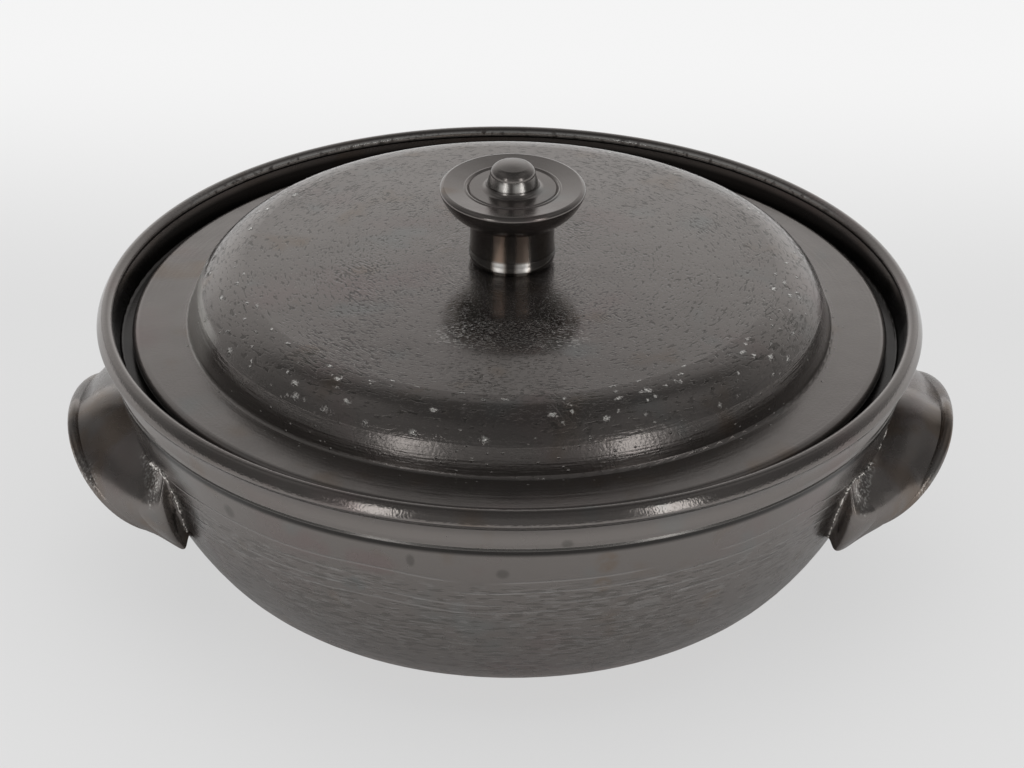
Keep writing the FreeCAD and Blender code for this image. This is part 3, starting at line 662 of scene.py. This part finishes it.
dark_spots = add_up([bowl.spot(*spot) for spot in DARK_SPOTS])
bowl_colour = (dark_spots * 0.6).tint(bowl_colour, GLAZE_DARK_AND_PAINTED_SHADE)
bowl_colour = (drags * 0.40).tint(bowl_colour, GLAZE_DARK_AND_PAINTED_SHADE)
bowl_colour = (pale_drags * 0.35 + grooves * 0.45).tint(bowl_colour, GLAZE_WORN)
print("spots on the bowl:", sum(len(spots) for _, spots in GLAZE_SPOTS) + len(DARK_SPOTS))


# %% [markdown]
# In the gallery, where the lid lies, painted shade makes the glaze nearly black. A painted
# highlight brightens the rim's inner edge at the back, and glaze is thin in the incised
# line. The foot was wiped bare, so that it would not stick to the kiln shelf, and shows red
# clay up to a ragged line.

# %% Gallery, inner edge, incised line and bare foot
GALLERY_PAINTED_SHADE = (0.02, 0.019, 0.018)
EDGE_PAINTED_HIGHLIGHT = (0.75, 0.73, 0.70)
LINE_PALE = (0.42, 0.40, 0.38)
LINE_HEIGHT = 0.0838
CLAY = (0.46, 0.19, 0.12)
CLAY_PALE = (0.56, 0.27, 0.18)

# Painted shade in the gallery under the lid.
gallery_painted_shade = bowl.z.between(0.080, 0.082, 0.0945, 0.0965) * bowl.radius.smooth(0.1350, 0.1345)
bowl_colour = (gallery_painted_shade * 0.9).tint(bowl_colour, GALLERY_PAINTED_SHADE)
# A painted highlight on the rim's inner edge at the back.
inner_edge_painted_highlight = bowl.z.between(0.0974, 0.0980, 0.0989, 0.0996)
inner_edge_painted_highlight = inner_edge_painted_highlight * bowl.radius.smooth(0.1358, 0.1352) * bowl.y.smooth(0.060, 0.100)
inner_edge_painted_highlight = inner_edge_painted_highlight * bowl.noise(bowl.place, 500.0, 2.0).smooth(0.30, 0.50)
bowl_colour = inner_edge_painted_highlight.tint(bowl_colour, EDGE_PAINTED_HIGHLIGHT)
in_the_line = abs(bowl.z - LINE_HEIGHT).smooth(0.0009, 0.0004)
bowl_colour = (in_the_line * 0.6).tint(bowl_colour, LINE_PALE)
bare = (bowl.z + bowl.noise(bowl.place, 70.0, 3.0) * 0.008).smooth(0.0135, 0.0125)
clay_grit = bowl.noise(bowl.place, 800.0, 3.0)
clay_colour = clay_grit.smooth(0.4, 0.6).tint(CLAY, CLAY_PALE)
bowl_colour = bare.tint(bowl_colour, clay_colour)
print("bowl coat, nodes so far:", len(bowl_glaze.node_tree.nodes))


# %% [markdown]
# The bowl's relief adds the faint waves of throwing, brushed rings, the drag marks, the
# grooves and the grain of the wiped rim. The rim is glossier than the wall, and bare clay
# is dull and not metallic at all.

# %% Glaze of the bowl
on_rim = bowl.z.smooth(0.0925, 0.0945) * bowl.radius.smooth(0.1335, 0.1350)
under_rim = bowl.z.smooth(0.090, 0.084)
rim_grain = bowl.noise(bowl.place, 1300.0, 1.0) * on_rim
brushed = bowl.noise(bowl.round_the_wheel(bowl.z / 0.0006, 5.0, 80.0)) * under_rim
bowl_wave = bowl.noise(bowl.round_the_wheel(bowl.z / 0.030, 3.0, 17.0), 1.0, 1.0) * under_rim
relief = bowl_wave * (0.40 * MM) + brushed * (0.008 * MM) + rim_grain * (0.05 * MM)
relief = relief + pale_drags * (0.06 * MM) - drags * (0.08 * MM) - grooves * (0.10 * MM)
relief = relief + bare * clay_grit * (0.10 * MM)
glossy = bowl.noise(bowl.place, 90.0, 2.0).smooth(0.3, 0.7, 0.21, 0.28) - on_rim * 0.10
bowl_roughness = bare * 0.85 + (1 - bare) * glossy
finish(bowl, bowl_colour, bowl_roughness, (1 - bare) * LUSTRE, relief)
coat("bowl", bowl_glaze)


# %% [markdown]
# The handles were squeezed on by hand. Grit from the fingers stayed along the lip, the
# lower edge and the folds, and painted glints brighten the lip and the folds. Both handles
# share one coat, so its masks use distances from the middle, and mirror from side to side.

# %% Zones of the handles
handle_glaze = bpy.data.materials.new("handle_lustre_glaze")
handle = Turned(handle_glaze)
outward = abs(handle.x)
depth = abs(handle.y)
at_lip = outward.smooth(0.1375, 0.1410) * handle.z.smooth(0.0580, 0.0530)
at_edge = handle.z.smooth(0.048, 0.042)

FOLD_PLACE, FOLD_SLANT = 0.1290, 0.176
along_fold = depth.between(0.038, 0.044, 0.062, 0.066) * handle.z.smooth(0.054, 0.058)
beside_fold = abs(outward + depth * FOLD_SLANT - FOLD_PLACE)
near_fold = beside_fold.smooth(0.0030, 0.0010) * along_fold
# Painted glints, in specks along the fold and the lip.
painted_glints = handle.noise(handle.place, 1000.0, 1.0).smooth(0.50, 0.66)
painted_glints = painted_glints * (near_fold + at_lip * 0.8)
print("handle coat, nodes so far:", len(handle_glaze.node_tree.nodes))


# %% [markdown]
# A hood that is pinched between finger and thumb slopes off from its crest to both ends.
# The relief adds that slope to the frame's smooth hood: rounded over the crest, and then
# even. On top come soft finger marks, speckle and the grit.

# %% Glaze of the handles
CREST_HALF_WIDTH, HOOD_HALF_WIDTH = 0.014, 0.060
CREST_CURVE = 36
PINCH_SLOPE = 0.40

crest = depth.smooth(0.000, CREST_HALF_WIDTH, 0.0, CREST_HALF_WIDTH, kind="LINEAR")
slope = depth.smooth(CREST_HALF_WIDTH, HOOD_HALF_WIDTH,
                     0.0, HOOD_HALF_WIDTH - CREST_HALF_WIDTH, kind="LINEAR")
pinched = crest * crest * CREST_CURVE + slope
gritty = at_lip * (0.10 * MM) + at_edge * (0.06 * MM) + near_fold * (0.08 * MM) + 0.01 * MM
relief = handle.noise(handle.place, 1100.0, 1.0) * gritty
relief = relief + handle.noise(handle.place, 65.0, 1.0) * (0.50 * MM)
relief = relief + handle.noise(handle.place, 420.0, 2.0) * (0.05 * MM)
relief = relief - pinched * PINCH_SLOPE

browning = handle.noise(handle.place, 55.0, 2.0).smooth(0.48, 0.66, 0.0, 0.8)
handle_colour = browning.tint(mottle(handle, 7.0), GLAZE_BROWN)
handle_colour = painted_glints.tint(handle_colour, PAINTED_GLINT)
handle_roughness = handle.noise(handle.place, 120.0, 2.0).smooth(0.3, 0.7, 0.22, 0.31)
finish(handle, handle_colour, handle_roughness, LUSTRE, relief)
coat("handle_left", handle_glaze)
coat("handle_right", handle_glaze)


# %% [markdown]
# The slip along the seams and folds is fine. Its coat has pale painted glints among dark
# specks, over a pebbled skin.

# %% Glaze of the seams
SLIP_PAINTED_GLINT = (0.85, 0.81, 0.76)
slip_glaze = bpy.data.materials.new("slip_glaze_painted_glints")
slip = Turned(slip_glaze)
pebbles_and_painted_glints = slip.noise(slip.place, 1000.0, 1.0)
# Painted glints on the slip, in pale specks.
slip_colour = pebbles_and_painted_glints.smooth(0.36, 0.56).tint(GLAZE_DARK_AND_PAINTED_SHADE, SLIP_PAINTED_GLINT)
slip_roughness = slip.noise(slip.place, 200.0, 1.0).smooth(0.3, 0.7, 0.16, 0.24)
finish(slip, slip_colour, slip_roughness, LUSTRE, pebbles_and_painted_glints * (0.06 * MM))


# %% [markdown]
# Each handle is luted to the wall with slip, and a thin uneven roll of it shows along the
# seam. It could be drawn as a curve by hand, but the frame already knows the line: it is
# the border of the faces where the handle lies on the bowl. A search tree over the bowl's
# skin tells which points of a handle lie on the wall.

# %% Skins of the frame
TOUCHING = 0.06 * MM


def skin_of(node):
    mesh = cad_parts[node].data
    return BVHTree.FromPolygons([vertex.co for vertex in mesh.vertices],
                                [tuple(face.vertices) for face in mesh.polygons])


bowl_skin = skin_of("bowl")


def on_the_wall(point):
    distance = bowl_skin.find_nearest(point)[3]
    return distance < TOUCHING


print("a point closer than this to the bowl touches it, in mm:", TOUCHING / MM)


# %% [markdown]
# Where the hood was pressed against the wall, the clay gave way in folds. A fold is a
# roll that swells and tapers: a curve through a few points that are first laid on the
# handle's skin, with a round bevel and its own thickness at each point.

# %% Folds of clay
def roll_along(points, thickness):
    bpy.ops.curve.primitive_nurbs_path_add()
    path = bpy.context.object
    path.data.splines.clear()
    line = path.data.splines.new("NURBS")
    line.points.add(len(points) - 1)
    for knot, (point, share) in zip(line.points, points):
        knot.co = (*point, 1.0)
        knot.radius = share
    line.order_u = 3
    line.use_endpoint_u = True
    path.data.bevel_depth = thickness
    path.data.bevel_resolution = 3
    path.data.dimensions = "3D"
    bpy.ops.object.convert(target="MESH")
    return bpy.context.object


def folds_of(handle_node, fold, thickness):
    """The fold in front and its mirror image at the back. Points are in mm."""
    handle_skin = skin_of(handle_node)
    rolls = []
    for side in (1, -1):
        laid = []
        for (x, y, z), share in fold:
            point = handle_skin.find_nearest(Vector((x, y * side, z)) * MM)[0]
            laid.append((point, share))
        clean_start()
        rolls.append(roll_along(laid, thickness))
    return rolls


# %% [markdown]
# For the seam's line, a merged copy of the handle loses every face that doesn't lie wholly
# on the wall. What remains is the patch of contact, and only its border is kept. The
# border becomes a curve, and the curve's bevel makes it a round roll.

# %% Border of the contact
MERGE_GAP = 0.002 * MM


def contact_border(name, handle_node):
    clean_start()
    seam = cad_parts[handle_node].copy()
    seam.data = seam.data.copy()
    seam.name = name
    seam.parent = None
    bpy.context.scene.collection.objects.link(seam)
    bpy.context.view_layer.objects.active = seam
    seam.select_set(True)
    edit_all()
    bpy.ops.mesh.remove_doubles(threshold=MERGE_GAP)
    bpy.ops.mesh.select_all(action="DESELECT")
    bpy.ops.object.mode_set(mode="OBJECT")
    touching = [on_the_wall(vertex.co) for vertex in seam.data.vertices]
    for face in seam.data.polygons:
        face.select = not all(touching[corner] for corner in face.vertices)
    bpy.ops.object.mode_set(mode="EDIT")
    bpy.ops.mesh.select_mode(type="FACE")
    bpy.ops.mesh.delete(type="FACE")
    bpy.ops.mesh.select_all(action="SELECT")
    bpy.ops.mesh.region_to_loop()
    bpy.ops.mesh.select_all(action="INVERT")
    bpy.ops.mesh.delete(type="EDGE")
    bpy.ops.object.mode_set(mode="OBJECT")
    seam.data.materials.clear()
    print(name, "border points:", len(seam.data.vertices))


# %% [markdown]
# Joining and remeshing can leave tiny closed crumbs beside a roll. They are found by
# walking over the edges: points that hang together share one leader, and lumps with few
# faces are deleted.

# %% Crumbs
def drop_crumbs(piece, fewest_faces):
    mesh = piece.data
    leader = list(range(len(mesh.vertices)))

    def lead(corner):
        while leader[corner] != corner:
            leader[corner] = leader[leader[corner]]
            corner = leader[corner]
        return corner

    for edge in mesh.edges:
        leader[lead(edge.vertices[0])] = lead(edge.vertices[1])
    lump = [lead(face.vertices[0]) for face in mesh.polygons]
    size = {}
    for leading in lump:
        size[leading] = size.get(leading, 0) + 1
    bpy.ops.object.mode_set(mode="EDIT")
    bpy.ops.mesh.select_mode(type="FACE")
    bpy.ops.mesh.select_all(action="DESELECT")
    bpy.ops.object.mode_set(mode="OBJECT")
    for face, leading in zip(mesh.polygons, lump):
        face.select = size[leading] < fewest_faces
    bpy.ops.object.mode_set(mode="EDIT")
    bpy.ops.mesh.delete(type="FACE")
    bpy.ops.object.mode_set(mode="OBJECT")
    kept = [faces for faces in size.values() if faces >= fewest_faces]
    print(piece.name, "lumps kept:", len(kept))


# %% [markdown]
# The border's roll and the two folds are joined, and a voxel remesh melts them into one
# skin, as wet slip would. A cloud texture pushes the skin in and out, which gives the
# uneven look of slip that was pressed on with a finger. The left seam is thicker and
# rougher than the right one.

# %% Luting seams
SKIN_VOXEL = 0.25 * MM
FEWEST_FACES = 400


def luting_seam(name, handle_node, thickness, unevenness, lump_size, fold, fold_thickness):
    rolls = folds_of(handle_node, fold, fold_thickness)
    contact_border(name, handle_node)
    bpy.ops.object.convert(target="CURVE")
    bpy.context.object.data.bevel_depth = thickness
    bpy.context.object.data.bevel_resolution = 3
    bpy.ops.object.convert(target="MESH")
    seam = bpy.context.object
    for roll in rolls:
        roll.select_set(True)
    bpy.ops.object.join()
    skin = seam.modifiers.new("skin", "REMESH")
    skin.mode = "VOXEL"
    skin.voxel_size = SKIN_VOXEL
    bpy.ops.object.modifier_apply(modifier=skin.name)
    clouds = bpy.data.textures.new(name + "_slip", "CLOUDS")
    clouds.noise_scale = lump_size
    lumps = seam.modifiers.new("lumps", "DISPLACE")
    lumps.texture = clouds
    lumps.texture_coords = "LOCAL"
    lumps.strength = unevenness
    lumps.mid_level = 0.5
    bpy.ops.object.modifier_apply(modifier=lumps.name)
    drop_crumbs(seam, FEWEST_FACES)
    bpy.ops.object.shade_smooth()
    seam.data.materials.append(slip_glaze)
    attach(seam, "dish")
    print(name, "faces:", len(seam.data.polygons))


FOLD_LEFT = (((-122.5, -40, 67), 0.3), ((-120.0, -50, 66), 0.8), ((-118.5, -56.6, 64.8), 1.0),
             ((-117.2, -62.4, 63.1), 0.9), ((-116.2, -65.5, 58.0), 0.3))
FOLD_RIGHT = (((123.4, -40, 68), 0.3), ((121.4, -46.9, 65.4), 1.0), ((120.2, -54.4, 63.9), 1.0),
              ((118.7, -62.2, 61.0), 0.9), ((117.0, -65.0, 56.0), 0.3))
luting_seam("seam_left", "handle_left", thickness=0.70 * MM, unevenness=1.6 * MM,
            lump_size=2.5 * MM, fold=FOLD_LEFT, fold_thickness=1.3 * MM)
luting_seam("seam_right", "handle_right", thickness=0.55 * MM, unevenness=0.9 * MM,
            lump_size=2.8 * MM, fold=FOLD_RIGHT, fold_thickness=1.4 * MM)


# %% [markdown]
# Glaze gathers on a thrown rim and rounds it. On the frame the rim is made of facets, and a
# mirror-like finish shows them as a string of dashes. A thin sleeve of glaze lies over it.
# Its half section is read from the frame: the rim's points that lie in the plane through
# the axis, in order round the rim's middle.

# %% Half section of the rim
RIM_INSIDE, RIM_FOOT = 0.1345, 0.0915
RIM_MIDDLE = (0.1372, 0.0968)
IN_THE_PLANE = 0.001 * MM
section = set()
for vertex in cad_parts["bowl"].data.vertices:
    ring_radius, ring_height = math.hypot(vertex.co.x, vertex.co.y), vertex.co.z
    in_the_plane = abs(vertex.co.y) < IN_THE_PLANE and vertex.co.x > RIM_INSIDE
    if in_the_plane and ring_height > RIM_FOOT:
        section.add((round(ring_radius, 6), round(ring_height, 6)))


def round_the_rim(point):
    """The angle round the rim's middle, from its underside out and over the top."""
    angle = math.atan2(point[1] - RIM_MIDDLE[1], point[0] - RIM_MIDDLE[0])
    return angle if angle > -2.0 else angle + 2 * math.pi


section = sorted(section, key=round_the_rim)
print("rim section points:", len(section))


# %% [markdown]
# The half section is spun round the axis in many fine steps and its doubles are merged. If
# its faces point inwards, they are flipped. Solidify then gives it a thickness of less
# than half a millimetre, most of it inside the frame's rim.

# %% Glaze on the rim
SPIN_STEPS = 512
SLEEVE_THICKNESS = 0.4 * MM
SLEEVE_OFFSET = -0.85
clean_start()
rim_mesh = bpy.data.meshes.new("rim_glaze_sleeve")
rim_mesh.from_pydata([(radius, 0, height) for radius, height in section],
                     [(i, i + 1) for i in range(len(section) - 1)], [])
rim = bpy.data.objects.new("rim_glaze_sleeve", rim_mesh)
bpy.context.scene.collection.objects.link(rim)
bpy.context.view_layer.objects.active = rim
rim.select_set(True)
edit_all()
bpy.ops.mesh.spin(steps=SPIN_STEPS, angle=2 * math.pi, center=(0, 0, 0), axis=(0, 0, 1))
bpy.ops.mesh.select_all(action="SELECT")
bpy.ops.mesh.remove_doubles(threshold=0.001 * MM)
bpy.ops.object.mode_set(mode="OBJECT")
top_face = max(rim_mesh.polygons, key=lambda face: face.center.z)
if top_face.normal.z < 0:
    edit_all()
    bpy.ops.mesh.flip_normals()
    bpy.ops.object.mode_set(mode="OBJECT")
bpy.ops.object.shade_smooth()
wall = rim.modifiers.new("wall", "SOLIDIFY")
wall.thickness = SLEEVE_THICKNESS
wall.offset = SLEEVE_OFFSET
bpy.ops.object.modifier_apply(modifier=wall.name)
rim_mesh.materials.append(bowl_glaze)
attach(rim, "dish")
print("sleeve faces:", len(rim_mesh.polygons))
